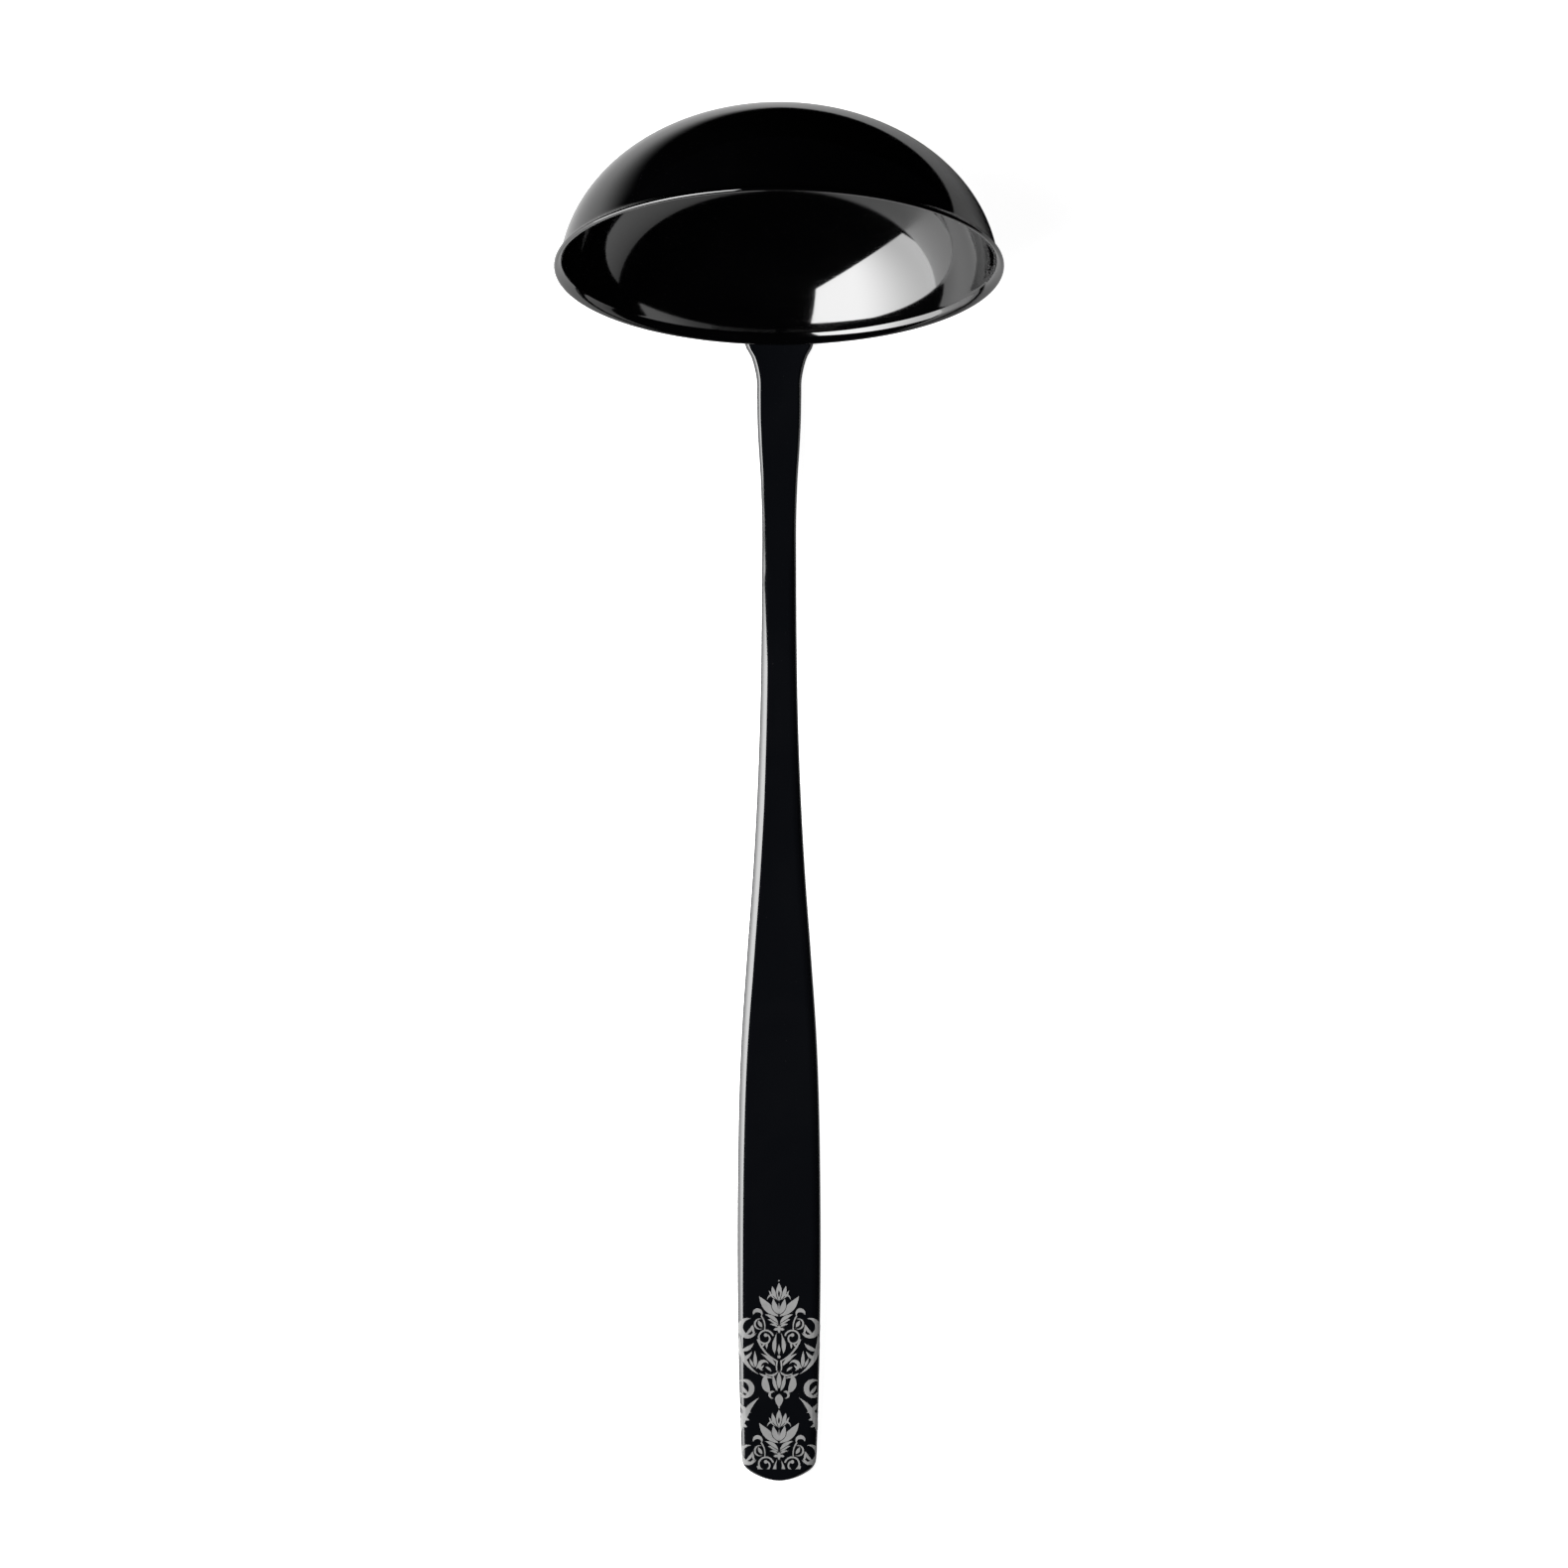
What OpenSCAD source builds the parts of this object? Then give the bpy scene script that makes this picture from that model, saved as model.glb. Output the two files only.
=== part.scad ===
// Soup ladle lying on its back: a deep drawn bowl brazed to a stamped handle with a printed end.
// Millimetres, +Z up, +Y toward the bowl. The origin is under the middle of the whole ladle,
// on the surface that it lies on.

/* [Bowl] */
// Outer diameter of the flared lip
lip_d = 97; // [88:0.5:106]
// Outer diameter of the wall at its widest
bowl_d = 95; // [86:0.5:104]
// Half height of the elliptical outer profile, measured along the bowl's axis
bowl_c = 36.4; // [30:0.1:42]
// Fullness of the outer profile, where 2 is a true ellipse
bowl_full = 2.02; // [1.9:0.02:2.3]
// How far the profile's widest circle lies in front of the rim
rim_lead = 2.2; // [1:0.1:5]
// Thickness of the sheet
wall = 1; // [0.8:0.1:1.4]
// Depth over which the lip flares out
flare_h = 2.4; // [1.5:0.1:4]
// Angle by which the bowl's axis points below the horizontal as the ladle lies
lean = 16.4; // [10:0.2:22]

/* [Handle] */
// Length of the whole ladle
total_l = 300.4; // [285:0.2:320]
// Greatest width of the handle, in its printed end
end_w = 18.4; // [16:0.2:22]
// Least width, in the neck
neck_w = 7.6; // [6.5:0.1:9]
// Width where the handle passes under the lip
heel_w = 14.6; // [12:0.2:18]
// Greatest width of the foot behind the lip
foot_w = 22; // [18:0.5:26]
// Length of the foot behind the rim, along the bowl's axis
foot_l = 21; // [16:0.5:24]
// Thickness of the printed end
end_t = 2.8; // [2.2:0.1:3.4]
// Thickness of the neck
neck_t = 4; // [3:0.1:5]
// Thickness at the foot's end
foot_t = 1.5; // [1.2:0.1:2]
// Width of the rounded long edges
edge_w = 2.2; // [1.3:0.1:3]
// Drop of the rounded long edges
edge_r = 1.3; // [0.8:0.1:1.4]
// Height of the arch's top side above the table
arch_h = 13.5; // [9:0.5:18]
// Slope of the flat printed end, in degrees
end_slope = 4; // [2:0.5:6]

/* [Print] */
// Thickness of the ink
ink_t = 0.06; // [0.04:0.01:0.12]
// Distance from the tip to the straight lower end of the print
print_start = 2.6; // [2:0.1:5]
// Distance from the tip to the top of the print
print_top = 44.6; // [40:0.1:50]

/* [Hidden] */
$fn = 48;

BLACK = [0.06, 0.06, 0.07];
SEAM = [0.16, 0.16, 0.16];
SILVER = [0.62, 0.62, 0.61];

tip_y = -total_l / 2;
joint_gap = 0.3;       // between the bowl and the foot, which the braze fills
film = 0.02;           // clearance that keeps touching solids apart
bowl_steps = 44;       // points along each side of the bowl's profile
section_arc = 4;       // steps in a quarter turn of the handle's edge
section_flat = 6;      // steps across the handle's faces
edge_share = 0.45;     // most of the half width that an edge's rounding may take

// ---------- curves ----------

// Cubic through the rows [x, value] of a table, with slopes from the neighbouring rows.
function row_slope(t, i) =
    let (a = t[max(i - 1, 0)], b = t[min(i + 1, len(t) - 1)]) (b[1] - a[1]) / (b[0] - a[0]);
function row_under(t, x) = max([0, for (i = [0 : len(t) - 2]) if (t[i][0] <= x) i]);
function hermite(a, b, sa, sb, h, u) =
    a * (2 * u * u * u - 3 * u * u + 1) + b * (3 * u * u - 2 * u * u * u)
    + h * sa * (u * u * u - 2 * u * u + u) + h * sb * (u * u * u - u * u);
function smooth(t, x) =
    let (i = row_under(t, x), h = t[i + 1][0] - t[i][0], u = (x - t[i][0]) / h)
    hermite(t[i][1], t[i + 1][1], row_slope(t, i), row_slope(t, i + 1), h, u);
// The smaller of two lengths, with the corner between them rounded.
function soft_min(a, b, p = 14) = pow(pow(a, -p) + pow(b, -p), -1 / p);

// ---------- bowl ----------
// The bowl's own frame has its origin in the middle of the rim, +Z into the bowl along its axis
// and +Y toward the foot.

bowl_a = bowl_d / 2;

// Outer radius of the wall at a depth behind the rim, without the flare.
function bowl_r(depth) = bowl_a * pow(1 - pow((depth + rim_lead) / bowl_c, bowl_full), 1 / bowl_full);
rim_r = bowl_r(0);

// Middle of the sheet, by the profile's angle.
sheet_c = bowl_c - wall / 2;
lip_u = asin(pow((rim_lead + wall / 2) / sheet_c, bowl_full / 2));
function sheet_r(u) = (bowl_a - wall / 2) * pow(cos(u), 2 / bowl_full);
function flare_share(z) = pow(max(0, 1 - z / flare_h), 3);
flare = (lip_d / 2 - wall / 2 - sheet_r(lip_u)) / flare_share(wall / 2);
function sheet(u) =
    let (z = sheet_c * pow(sin(u), 2 / bowl_full) - rim_lead) [sheet_r(u) + flare * flare_share(z), z];
function sheet_normal(u) = let (d = sheet(u + 0.2) - sheet(u - 0.2)) [d[1], -d[0]] / norm(d);
function sheet_side(u, side) =
    u == 90 ? [0, sheet_c - rim_lead + side * wall / 2] : sheet(u) + sheet_normal(u) * side * wall / 2;

bowl_us = [for (i = [0 : bowl_steps]) lip_u + (90 - lip_u) * pow(i / bowl_steps, 1.5)];
lip_n = sheet_normal(lip_u);
bowl_outline = concat(
    [for (u = bowl_us) sheet_side(u, 1)],
    [for (i = [bowl_steps : -1 : 0]) sheet_side(bowl_us[i], -1)],
    [for (a = [165 : -15 : 15]) sheet(lip_u) + wall / 2 * (lip_n * cos(a) - [-lip_n[1], lip_n[0]] * sin(a))]
);

// ---------- handle ----------

// The bowl's farthest point along Y sets where the rim's middle goes.
back_reach = max([for (p = bowl_outline) p[1] * cos(lean) + p[0] * sin(lean)]);
rim_y = total_l / 2 - back_reach;

// Radius of the foot's inner face about the bowl's axis: it clears the lip, then follows the wall.
settle = 8;            // depth at which the foot first lies along the wall
lip_over = lip_d / 2 - rim_r;
function foot_r(depth) = bowl_r(depth) + joint_gap + lip_over * pow(max(0, 1 - depth / settle), 2);
// A point of the bowl's middle plane in the ladle's frame, before the ladle is set on the table.
function in_plane(r, depth) = [rim_y + depth * cos(lean) - r * sin(lean), -depth * sin(lean) - r * cos(lean)];

heel = in_plane(foot_r(0), 0);
heel_slope = tan(atan((foot_r(0) - foot_r(0.5)) / 0.5) - lean);
flat_l = 50;           // length of the flat end
arch_y = 6;            // where the arch is highest
heel_t = 2.9;          // thickness under the lip

// The handle's thickness by distance from the tip.
function thickness(t) = smooth([[0, end_t], [flat_l, end_t], [flat_l + 8, end_t + 0.01],
    [150, neck_t - 0.4], [200, neck_t], [235, neck_t - 0.4], [251, heel_t], [262, foot_t + 0.5],
    [280, foot_t]], t);

// Front face in side view: straight at the end, one arch, then down to the heel.
heel_drop = 3.461;     // from the front face at the heel down to the back's lowest point
table_z = heel[1] - heel_drop;
end_z = table_z + end_t;
flat_z = end_z + flat_l * tan(end_slope);
top_z = table_z + arch_h;
function front_z(y) =
    let (t = y - tip_y, a = tip_y + flat_l)
    t <= flat_l ? end_z + t * tan(end_slope)
    : y <= arch_y ? hermite(flat_z, top_z, tan(end_slope), 0, arch_y - a, (y - a) / (arch_y - a))
    : hermite(top_z, heel[1], 0, heel_slope, heel[0] - arch_y, (y - arch_y) / (heel[0] - arch_y));

heel_at = heel[0] - tip_y;
// Half the width, by distance from the tip.
side_table = [[-10, end_w / 2 - 1.3], [0, end_w / 2 - 1.1], [12, end_w / 2 - 0.65], [30, end_w / 2 - 0.2],
    [54, end_w / 2], [80, end_w / 2 - 0.28], [98, end_w / 2 - 0.9], [116, end_w / 2 - 2.1],
    [134, neck_w / 2 + 2], [151, neck_w / 2 + 1.05], [169, neck_w / 2 + 0.4], [187, neck_w / 2 + 0.1],
    [204, neck_w / 2], [213, neck_w / 2], [222, neck_w / 2 + 0.3], [229, neck_w / 2 + 0.75],
    [235, neck_w / 2 + 1.03], [heel_at - 11, neck_w / 2 + 1.06], [heel_at - 7, neck_w / 2 + 1.12],
    [heel_at - 2.7, heel_w / 2 - 1.4], [heel_at, heel_w / 2], [heel_at + 6, foot_w / 2 - 1.4],
    [heel_at + 12, foot_w / 2], [heel_at + 30, foot_w / 2 - 3]];
tip_r = 11.8;          // radius of the tip's end arc
foot_end_r = foot_w / 2;
function tip_half(t) = t >= tip_r ? 1e3 : sqrt(max(t * (2 * tip_r - t), 1e-4));
function half_width(t) = soft_min(tip_half(t), smooth(side_table, t));
// The foot's rounded end.
function foot_half(depth) =
    let (left = foot_l - depth,
         round_w = left >= foot_end_r ? 1e3 : sqrt(max(left * (2 * foot_end_r - left), 1e-4)))
    soft_min(round_w, smooth(side_table, heel_at + depth), 8);
// Thickness that is left at a distance from the end of the metal, where its edge is rounded.
function round_end(t, full) =
    let (r = min(edge_r, full / 2 - 0.05))
    t >= edge_w ? full : full - 2 * r + 2 * r / edge_w * sqrt(t * (2 * edge_w - t));

// Stations [y, z, half width, thickness, curvature across] of the strip, from the tip to the heel,
// then depths behind the rim for the foot.
tip_ts = [for (i = [0.04 : 0.16 : 1]) i * i * 1.4, for (t = [2, 2.6, 3.2, 3.9, 4.8, 6, 8, 12]) t];
strip_ts = [for (t = [18 : 8 : 42]) t, flat_l, for (t = [58 : 8 : heel_at - 22]) t,
    for (i = [12 : -1 : 1]) heel_at - i * i * 0.11 - 0.4];
foot_ds = [for (i = [0 : 12]) foot_l * (1 - pow(1 - (i + 0.02) / 12.1, 1.6)), foot_l - 0.03];
curl_l = 18;           // the strip bends across its width over this length before the heel

function strip_station(t) =
    let (y = tip_y + t, near = max(0, 1 - (heel[0] - y) / curl_l))
    [y, front_z(y), half_width(t), round_end(t, thickness(t)), near * near * (3 - 2 * near) / foot_r(0)];
strip = [for (t = concat(tip_ts, strip_ts)) strip_station(t)];

// Unit normal of the strip's front face, pointing away from the bowl and down.
function strip_normal(i) =
    let (a = strip[max(i - 1, 0)], b = i + 1 < len(strip) ? strip[i + 1] : heel,
         d = [b[0] - a[0], b[1] - a[1]])
    [d[1], -d[0]] / norm(d);

// The front half of a section as [across, down], from its middle to its widest point.
front_n = section_flat / 2 + section_arc;
function front_half(w, t) =
    let (r = min(edge_r, t / 2 - 0.01), e = min(edge_w, w * edge_share), flat = w - e)
    concat([for (i = [0 : section_flat / 2 - 1]) [flat * i * 2 / section_flat, 0]],
           [for (i = [0 : section_arc]) let (a = 90 * i / section_arc)
               [flat + e * sin(a), r - r * cos(a)]]);
// The whole front from left to right.
function front(w, t) =
    let (h = front_half(w, t)) concat([for (i = [front_n : -1 : 1]) [-h[i][0], h[i][1]]], h);
// Front from left to right, then back from right to left.
function section(w, t) =
    let (f = front(w, t)) concat(f, [for (i = [2 * front_n : -1 : 0]) [f[i][0], t - f[i][1]]]);

// A section's point set on the strip. A curvature bends the strip's sides up.
function on_strip(s, n, q) =
    let (k = s[4], a = q[0] * k * 180 / PI, x = k < 1e-4 ? q[0] : (1 / k + q[1]) * sin(a),
         v = k < 1e-4 ? q[1] : (1 / k + q[1]) * cos(a) - 1 / k)
    [x, s[0] + n[0] * v, s[1] + n[1] * v];
// A section's point set on the foot, which wraps round the bowl's axis at one depth.
function on_foot(d, q) =
    let (r = foot_r(d), b = atan((r - foot_r(d + 0.2)) / 0.2), a = q[0] / r * 180 / PI,
         reach = r + q[1] * cos(b), p = in_plane(reach * cos(a), d + q[1] * sin(b)))
    [reach * sin(a), p[0], p[1]];

rings = concat(
    [for (i = [0 : len(strip) - 1])
        [for (q = section(strip[i][2], strip[i][3])) on_strip(strip[i], strip_normal(i), q)]],
    [for (d = foot_ds) let (t = round_end((foot_l - d) * 1.3, thickness(heel_at + d)))
        [for (q = section(foot_half(d), t)) on_foot(d, q)]]);
lift = -min([for (r = rings) for (p = r) p[2]]);

// A closed solid through rings of equal length. A ring's second half runs back beside its first.
module loft(rings) {
    n = len(rings[0]);
    last = len(rings) - 1;
    polyhedron(
        points = [for (r = rings) each r],
        faces = concat(
            [for (j = [0 : n / 2 - 2]) [j, j + 1, n - 2 - j, n - 1 - j]],
            [for (i = [0 : last - 1]) for (j = [0 : n - 1]) let (k = (j + 1) % n)
                each [[i * n + j, (i + 1) * n + k, i * n + k],
                      [i * n + j, (i + 1) * n + j, (i + 1) * n + k]]],
            [for (j = [0 : n / 2 - 2]) last * n * [1, 1, 1, 1] + [n - 1 - j, n - 2 - j, j + 1, j]]),
        convexity = 6);
}

module in_bowl_frame() translate([0, rim_y, lift]) rotate([-(90 + lean), 0, 0]) children();

module bowl() {
    color(BLACK) in_bowl_frame() rotate_extrude($fn = 96) polygon(bowl_outline);
}

// Cutting to the strip's stock makes one face of each flat stretch.
module handle() {
    color(BLACK) intersection() {
        translate([0, 0, lift]) loft(rings);
        translate([-lip_d / 2, -total_l, -arch_h]) cube([lip_d, 2 * total_l, 3 * arch_h]);
    }
}

// ---------- braze ----------

seam_from = 6;         // depth behind the rim at which the braze starts
seam_margin = 0.5;     // how far it runs out past the foot all round
seam_ds = [for (i = [0 : 16]) seam_from + (foot_l - seam_from - 0.02) * (1 - pow(1 - i / 16, 1.7))];
// The foot's outline seen along the bowl's radius, grown by the margin.
function seam_side(d) =
    [foot_half(d) + seam_margin, d + seam_margin * (d - seam_from) / (foot_l - seam_from)];
seam_right = [for (d = seam_ds) seam_side(d)];
seam_outline = concat(seam_right, [for (i = [len(seam_right) - 1 : -1 : 0]) [-seam_right[i][0], seam_right[i][1]]]);
seam_t = joint_gap - 5 * film;
shell_n = 22;          // steps along the seam's profile
shell_ds = [for (i = [0 : shell_n]) seam_from - 1 + (foot_l + 3 - seam_from) * i / shell_n];

module braze_seam() {
    color(SEAM) in_bowl_frame() intersection() {
        rotate_extrude($fn = 96) polygon(concat(
            [for (d = shell_ds) [bowl_r(d) + film + seam_t, d]],
            [for (i = [shell_n : -1 : 0]) [bowl_r(shell_ds[i]) + film, shell_ds[i]]]));
        rotate([-90, 0, 0]) linear_extrude(lip_d) polygon([for (p = seam_outline) [p[0], -p[1]]]);
    }
}

// ---------- print ----------
// The ornament is drawn in plan: x across the handle, y down from the top of a medallion.

repeat_l = 28.2;       // from one medallion to the next
leaf_steps = 10;
gap_w = 0.15;          // clear line round a shape that lies over others

function bezier(a, m, b, s) = a * (1 - s) * (1 - s) + m * 2 * s * (1 - s) + b * s * s;
function across(v) = [-v[1], v[0]] / norm(v);

// A blade from a to b, bent sideways by a share of its length. `full` moves its widest place.
module leaf(a, b, w, bend = 0, full = 0.75, steps = leaf_steps) {
    m = (a + b) / 2 + across(b - a) * norm(b - a) * bend;
    line = [for (i = [0 : steps]) bezier(a, m, b, i / steps)];
    side = [for (i = [0 : steps]) let (s = i / steps)
        across((m - a) * (1 - s) + (b - m) * s) * w / 2 * sin(180 * pow(s, full))];
    polygon(concat([for (i = [0 : steps]) line[i] + side[i]],
                   [for (i = [steps - 1 : -1 : 1]) line[i] - side[i]]));
}

// A stem of nearly even width from a to b.
module stem(a, b, w = 0.28, bend = 0, steps = leaf_steps) {
    m = (a + b) / 2 + across(b - a) * norm(b - a) * bend;
    side = [for (i = [0 : steps]) let (s = i / steps)
        across((m - a) * (1 - s) + (b - m) * s) * w / 2 * (1 - 0.35 * s)];
    polygon(concat([for (i = [0 : steps]) bezier(a, m, b, i / steps) + side[i]],
                   [for (i = [steps : -1 : 0]) bezier(a, m, b, i / steps) - side[i]]));
}

// A horn or C-scroll: part of a circle that swells toward its middle.
module horn(c, r, from, turn, w, full = 0.9) {
    steps = ceil(max(abs(turn) / 15, r * abs(turn) / 34));
    at = [for (i = [0 : steps]) let (a = from + turn * i / steps) [cos(a), sin(a)]];
    half = [for (i = [0 : steps]) w / 2 * sin(180 * pow(i / steps, full))];
    polygon(concat([for (i = [0 : steps]) c + at[i] * (r + half[i])],
                   [for (i = [steps - 1 : -1 : 1]) c + at[i] * (r - half[i])]));
}

// A stem that winds in from radius r, from angle `from` through `turn` degrees, to a round end.
module curl(c, r, from, turn, w = 0.34, inner = 0.35, bead = 0.3) {
    steps = ceil(abs(turn) / 20);
    at = [for (i = [0 : steps]) let (a = from + turn * i / steps) [cos(a), sin(a)]];
    rs = [for (i = [0 : steps]) r * (1 - (1 - inner) * pow(i / steps, 1.5))];
    polygon(concat([for (i = [0 : steps]) c + at[i] * (rs[i] + w / 2)],
                   [for (i = [steps : -1 : 0]) c + at[i] * (rs[i] - w / 2)]));
    bead_at(c + at[steps] * rs[steps], bead);
}

module bead_at(c, r) translate(c) circle(r, $fn = 16);

module both_sides() {
    children();
    mirror([1, 0]) children();
}

// The first shape over the second, with a clear line between them.
module over() {
    children(0);
    difference() {
        children(1);
        offset(delta = gap_w) children(0);
    }
}

module crown() {
    bead_at([0, 0.1], 0.16);
    over() {
        difference() {
            leaf([0, 4.75], [0, 0.6], 1.25, 0, 1.2);
            leaf([0, 3.8], [0, 2.2], 0.44, 0, 1);
        }
        union() {
            over() {
                both_sides() leaf([0.2, 4.5], [1.5, 1.3], 0.85, 0.14, 1.2);
                both_sides() leaf([0.2, 4.45], [2.25, 2.25], 0.62, 0.14, 1.1);
            }
            both_sides() horn([1.4, 4.45], 1.2, 195, 160, 0.46);
        }
    }
    over() {
        both_sides() leaf([0.14, 7.5], [1.25, 4.1], 1.2, 0.14, 0.9, 12);
        both_sides() leaf([0.14, 8], [4.4, 3.5], 1.75, 0.12, 0.95, 14);
    }
    leaf([0, 7.6], [0, 4.9], 0.3);
}

module bow() {
    both_sides() {
        over() {
            leaf([0.2, 9.5], [3.1, 7.6], 0.8, -0.2, 0.9);
            leaf([0.2, 9.9], [2.5, 8.7], 0.75, -0.2, 0.9);
        }
        leaf([0.2, 10.4], [2, 9.75], 0.5, -0.2, 0.9);
        horn([4.75, 7.6], 0.95, 150, 215, 0.85, 1.2);
        stem([3.95, 7.9], [3.2, 11.2], 0.32, 0.22);
        over() {
            leaf([3.7, 10.4], [4.6, 8.9], 0.75, 0.1, 0.9);
            horn([4.2, 9.7], 1.15, 250, 230, 0.4);
        }
        leaf([5.4, 12], [5.7, 9.8], 0.5, 0.2, 0.9);
        leaf([0.2, 10.7], [1.2, 10.95], 0.6, 0.1, 0.9);
    }
    leaf([0, 10], [0, 11.8], 0.8, 0, 0.9);
}

module rosettes() {
    both_sides() {
        curl([3, 12.8], 1.75, 195, 430, 0.36, 0.36, 0.4);
        leaf([2.5, 13.95], [2.7, 15.2], 0.45, -0.2, 0.9);
        leaf([3.2, 13.95], [3.9, 14.8], 0.4, 0.2, 0.9);
        leaf([0.4, 11.6], [0.95, 16.3], 0.9, -0.14, 1.5, 12);
        stem([4.7, 13.1], [0.35, 18], 0.46, -0.2, 16);
    }
    leaf([0, 14.2], [0, 16.5], 0.62, 0, 1.2);
    bead_at([0, 17], 0.36);
}

// The broad acanthus that runs over the handle's rounded edges.
module acanthus() {
    both_sides() {
        horn([6.6, 10.5], 2, 143, -245, 1.25, 1);
        over() {
            leaf([7.4, 12], [5.9, 9.9], 0.6, -0.22, 0.9);
            leaf([6.5, 12.5], [5.3, 11.4], 0.45, -0.15, 0.9);
        }
        horn([0.3, 13.6], 8.4, -10, 70, 1, 0.8);
        leaf([8.3, 15.6], [5.6, 13.95], 0.9, -0.22, 0.8, 12);
        leaf([8.2, 17.6], [6, 15.8], 0.75, -0.22, 0.8, 12);
        over() {
            leaf([5.2, 19.3], [5.35, 15.7], 0.8, 0, 0.75, 12);
            union() {
                leaf([5.1, 19.4], [6.5, 17.3], 0.6, 0.2, 0.85);
                leaf([5.1, 19.6], [4, 17.7], 0.6, -0.2, 0.85);
            }
        }
    }
}

module lyre() {
    both_sides() {
        stem([0.42, 17.9], [0.5, 20.1], 0.38, -0.08);
        horn([1.75, 19.5], 1.65, 160, -125, 0.42, 0.8);
        horn([0.4, 14.2], 7.6, 58, 28, 0.45, 0.8);
        leaf([0.8, 19], [4, 16.3], 0.8, -0.14, 0.8, 12);
        horn([3.3, 19], 1.05, 200, 240, 0.8, 1.1);
        leaf([3, 19.3], [1.7, 20.3], 0.5, 0.2, 0.9);
        leaf([4.2, 19.9], [3.3, 18.9], 0.45, 0.1, 0.9);
    }
}

module pendants() {
    over() {
        leaf([0, 24.1], [0, 20.3], 1.05, 0, 0.9, 12);
        both_sides() over() {
            leaf([0.35, 24.6], [1.3, 21], 0.8, 0.1, 0.85, 12);
            leaf([2, 25], [2.7, 20.7], 1.6, 0.34, 0.8, 14);
        }
    }
    over() {
        leaf([0, 25.3], [0, 28.3], 1.75, 0, 0.75, 14);
        both_sides() horn([1.35, 25.5], 0.75, -120, 220, 0.55, 0.8);
    }
}

module medallion() {
    crown();
    bow();
    rosettes();
    acanthus();
    lyre();
    pendants();
}

// The half motif at the handle's edge, drawn for the right side.
module side_motif() {
    horn([7.9, 24.1], 1.85, -60, -235, 1.2, 1);
    over() {
        leaf([6.6, 25.3], [8.2, 23.4], 0.7, 0.22, 0.9);
        leaf([7.4, 25.9], [8.6, 24.9], 0.5, 0.2, 0.9);
    }
    leaf([8.4, 33.9], [4.4, 26.1], 1.3, 0.24, 0.85, 16);
    leaf([6.2, 29.4], [8.6, 27.3], 0.85, 0.25, 0.9);
    leaf([6.5, 31.1], [8.7, 29.2], 0.85, 0.25, 0.9);
    leaf([7, 32.6], [8.7, 31.2], 0.75, 0.25, 0.9);
}

// The film of ink that would cover the front face and its rounded edges.
skin_ts = [for (t = concat(tip_ts, strip_ts)) if (t >= 2 && t <= flat_l) t];
function skin_ring(t) =
    let (s = strip_station(t), nrm = [sin(end_slope), -cos(end_slope)],
         out = front(s[2] + ink_t, s[3] + 2 * ink_t), in = front(s[2] + film / 2, s[3] + film))
    concat([for (q = out) on_strip(s, nrm, q - [0, ink_t])],
           [for (i = [2 * front_n : -1 : 0]) on_strip(s, nrm, in[i] - [0, film / 2])]);

module ink(y_from, y_to) {
    color(SILVER) intersection() {
        translate([0, 0, lift]) loft([for (t = skin_ts) skin_ring(t)]);
        linear_extrude(arch_h) intersection() {
            translate([0, tip_y + print_top]) mirror([0, 1]) offset(delta = film / 4) children();
            translate([-end_w, tip_y + y_from]) square([2 * end_w, y_to - y_from]);
        }
    }
}

module upper_medallion() ink(print_start, print_top + 1) medallion();
module lower_medallion() ink(print_start, print_top) translate([0, repeat_l]) medallion();
module right_scroll() ink(print_start, print_top) side_motif();
module left_scroll() ink(print_start, print_top) mirror([1, 0]) side_motif();

bowl();
handle();
braze_seam();
upper_medallion();
lower_medallion();
left_scroll();
right_scroll();
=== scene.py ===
"""A black soup ladle lying on its back, with a printed ornament on the handle's end.

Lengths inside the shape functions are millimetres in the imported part's frame; MM turns them into
metres. The bowl, the handle and the bead round the foot are smooth meshes that stand for the plain
CAD nodes. The printed ornament keeps its CAD nodes and only gets a material.
"""
import math

import bpy
from mathutils import Euler, Matrix, Vector


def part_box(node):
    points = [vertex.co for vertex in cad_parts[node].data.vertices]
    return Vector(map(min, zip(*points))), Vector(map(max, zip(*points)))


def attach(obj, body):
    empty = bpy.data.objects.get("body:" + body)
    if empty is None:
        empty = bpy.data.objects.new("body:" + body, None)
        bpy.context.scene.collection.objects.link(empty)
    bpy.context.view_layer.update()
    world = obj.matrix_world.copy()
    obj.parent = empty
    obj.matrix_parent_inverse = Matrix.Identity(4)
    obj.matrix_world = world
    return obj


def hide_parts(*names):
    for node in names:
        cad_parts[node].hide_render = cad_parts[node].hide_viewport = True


MM = 0.001

# Bowl
LIP_D = 97.0
BOWL_A = 47.5            # outer radius of the wall at its widest
BOWL_C = 36.4            # half height of the outer profile
BOWL_FULL = 2.02         # 2 would be an ellipse
RIM_LEAD = 2.2           # from the rim forward to the profile's widest circle
WALL = 1.0
FLARE_H = 2.4
LEAN = math.radians(16.4)  # how far the bowl's axis points below level
BOWL_SPOKES = 256
BOWL_STEPS = 110
BOWL_CROWD = 1.4         # above 1, the rings crowd toward the lip
LIP_STEPS = 14

# Handle
TOTAL_L = 300.4
END_W = 18.4
NECK_W = 7.6
HEEL_W = 14.6
FOOT_W = 22.0
FOOT_L = 21.0
END_T = 2.8
NECK_T = 4.0
HEEL_T = 2.9
FOOT_T = 1.5
EDGE_W = 2.2             # width of the rounded long edges
EDGE_R = 1.3             # and their drop
EDGE_SHARE = 0.45        # most of the half width that an edge may take
HEEL_EDGE = 0.8          # width of the edges beside the bowl, where they are crisper
CRISP_FROM = 62.0        # distances before the heel between which the edges narrow
CRISP_AT = 34.0
ARCH_H = 13.5
ARCH_Y = 6.0
FLAT_L = 50.0
END_SLOPE = math.tan(math.radians(4))
TIP_R = 11.8
TIP_Y = -TOTAL_L / 2
JOINT_GAP = 0.3
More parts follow.
